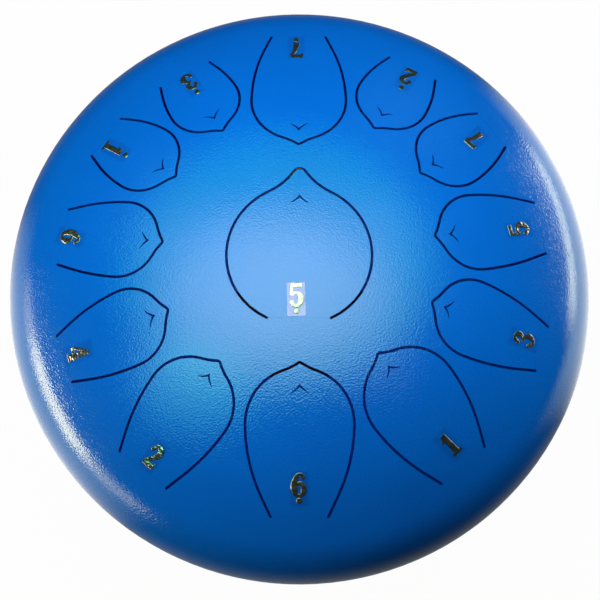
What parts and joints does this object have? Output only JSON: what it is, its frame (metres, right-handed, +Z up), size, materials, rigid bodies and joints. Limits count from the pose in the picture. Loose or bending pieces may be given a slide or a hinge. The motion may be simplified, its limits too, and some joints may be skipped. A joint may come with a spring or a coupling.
{
  "type": "steel tongue drum",
  "caption": "Round flattened steel tongue drum: pressed shells welded at the rim, laser-cut tongues in the domed top, a sound hole beneath and rubber feet.",
  "frame": {"origin": "centre of the drum on the plane that the feet stand on", "axes": "+Z up, through the middle of the sound hole and the centre tongue; the centre tongue's tip points to +Y and the second lowest note is at -Y"},
  "size_m": [0.3003, 0.3002, 0.1557],
  "materials": {
    "blue_powder_coat": "satin, fine orange-peel powder coat",
    "label_film": "clear film with a gold foil numeral",
    "foot_rubber": "matte moulded rubber",
    "zinc_plated_steel": "zinc plated"
  },
  "bodies": {
    "drum": {"upper_shell": "blue_powder_coat", "lower_shell": "blue_powder_coat", "seam_weld": "blue_powder_coat", "foot_1": "foot_rubber", "foot_2": "foot_rubber", "foot_3": "foot_rubber", "foot_stud_1": "zinc_plated_steel", "foot_stud_2": "zinc_plated_steel", "foot_stud_3": "zinc_plated_steel", "foot_washer_1": "zinc_plated_steel", "foot_washer_2": "zinc_plated_steel", "foot_washer_3": "zinc_plated_steel", "foot_nut_1": "zinc_plated_steel", "foot_nut_2": "zinc_plated_steel", "foot_nut_3": "zinc_plated_steel"},
    "note_g3": {"tongue_g3": "blue_powder_coat", "note_label_g3": "label_film"},
    "note_a3": {"tongue_a3": "blue_powder_coat", "note_label_a3": "label_film"},
    "note_b3": {"tongue_b3": "blue_powder_coat", "note_label_b3": "label_film"},
    "note_c4": {"tongue_c4": "blue_powder_coat", "note_label_c4": "label_film"},
    "note_d4": {"tongue_d4": "blue_powder_coat", "note_label_d4": "label_film"},
    "note_e4": {"tongue_e4": "blue_powder_coat", "note_label_e4": "label_film"},
    "note_f4": {"tongue_f4": "blue_powder_coat", "note_label_f4": "label_film"},
    "note_g4": {"tongue_g4": "blue_powder_coat", "note_label_g4": "label_film"},
    "note_a4": {"tongue_a4": "blue_powder_coat", "note_label_a4": "label_film"},
    "note_b4": {"tongue_b4": "blue_powder_coat", "note_label_b4": "label_film"},
    "note_c5": {"tongue_c5": "blue_powder_coat", "note_label_c5": "label_film"},
    "note_d5": {"tongue_d5": "blue_powder_coat", "note_label_d5": "label_film"},
    "note_e5": {"tongue_e5": "blue_powder_coat", "note_label_e5": "label_film"}
  },
  "joints": [
    {"name": "flex_g3", "type": "hinge", "parent": "drum", "child": "note_g3", "pos_m": [-0.00107, -0.0288, 0.15322], "axis": [-0.9998, 0.0222, 0], "range_deg": [-0.4, 0.4], "stiffness_Nm_per_rad": 82.347},
    {"name": "flex_a3", "type": "hinge", "parent": "drum", "child": "note_a3", "pos_m": [-0.00215, -0.11743, 0.12535], "axis": [-0.9998, 0.0183, 0], "range_deg": [-0.4, 0.4], "stiffness_Nm_per_rad": 105.72},
    {"name": "flex_b3", "type": "hinge", "parent": "drum", "child": "note_b3", "pos_m": [0.00122, 0.123, 0.12227], "axis": [0.9999, -0.0138, 0], "range_deg": [-0.4, 0.4], "stiffness_Nm_per_rad": 119.06},
    {"name": "flex_c4", "type": "hinge", "parent": "drum", "child": "note_c4", "pos_m": [0.07516, -0.09488, 0.12338], "axis": [-0.7789, -0.6271, 0], "range_deg": [-0.4, 0.4], "stiffness_Nm_per_rad": 112.25},
    {"name": "flex_d4", "type": "hinge", "parent": "drum", "child": "note_d4", "pos_m": [-0.07526, -0.0946, 0.12347], "axis": [-0.7828, 0.6222, 0], "range_deg": [-0.4, 0.4], "stiffness_Nm_per_rad": 110.95},
    {"name": "flex_e4", "type": "hinge", "parent": "drum", "child": "note_e4", "pos_m": [0.11558, -0.03991, 0.12269], "axis": [-0.3234, -0.9463, 0], "range_deg": [-0.4, 0.4], "stiffness_Nm_per_rad": 108.63},
    {"name": "flex_f4", "type": "hinge", "parent": "drum", "child": "note_f4", "pos_m": [-0.11347, -0.04154, 0.12349], "axis": [-0.341, 0.9401, 0], "range_deg": [-0.4, 0.4], "stiffness_Nm_per_rad": 104.57},
    {"name": "flex_g4", "type": "hinge", "parent": "drum", "child": "note_g4", "pos_m": [0.11795, 0.0197, 0.12419], "axis": [0.1652, -0.9863, 0], "range_deg": [-0.4, 0.4], "stiffness_Nm_per_rad": 132.94},
    {"name": "flex_a4", "type": "hinge", "parent": "drum", "child": "note_a4", "pos_m": [-0.11526, 0.01829, 0.12575], "axis": [0.1671, 0.9859, 0], "range_deg": [-0.4, 0.4], "stiffness_Nm_per_rad": 132.91},
    {"name": "flex_b4", "type": "hinge", "parent": "drum", "child": "note_b4", "pos_m": [0.09668, 0.07057, 0.12413], "axis": [0.5909, -0.8068, 0], "range_deg": [-0.4, 0.4], "stiffness_Nm_per_rad": 127.56},
    {"name": "flex_c5", "type": "hinge", "parent": "drum", "child": "note_c5", "pos_m": [-0.09538, 0.06953, 0.12504], "axis": [0.5938, 0.8046, 0], "range_deg": [-0.4, 0.4], "stiffness_Nm_per_rad": 121.62},
    {"name": "flex_d5", "type": "hinge", "parent": "drum", "child": "note_d5", "pos_m": [0.05841, 0.10384, 0.12443], "axis": [0.8704, -0.4923, 0], "range_deg": [-0.4, 0.4], "stiffness_Nm_per_rad": 137.9},
    {"name": "flex_e5", "type": "hinge", "parent": "drum", "child": "note_e5", "pos_m": [-0.05622, 0.10168, 0.12602], "axis": [0.8775, 0.4796, 0], "range_deg": [-0.4, 0.4], "stiffness_Nm_per_rad": 140.38}
  ]
}
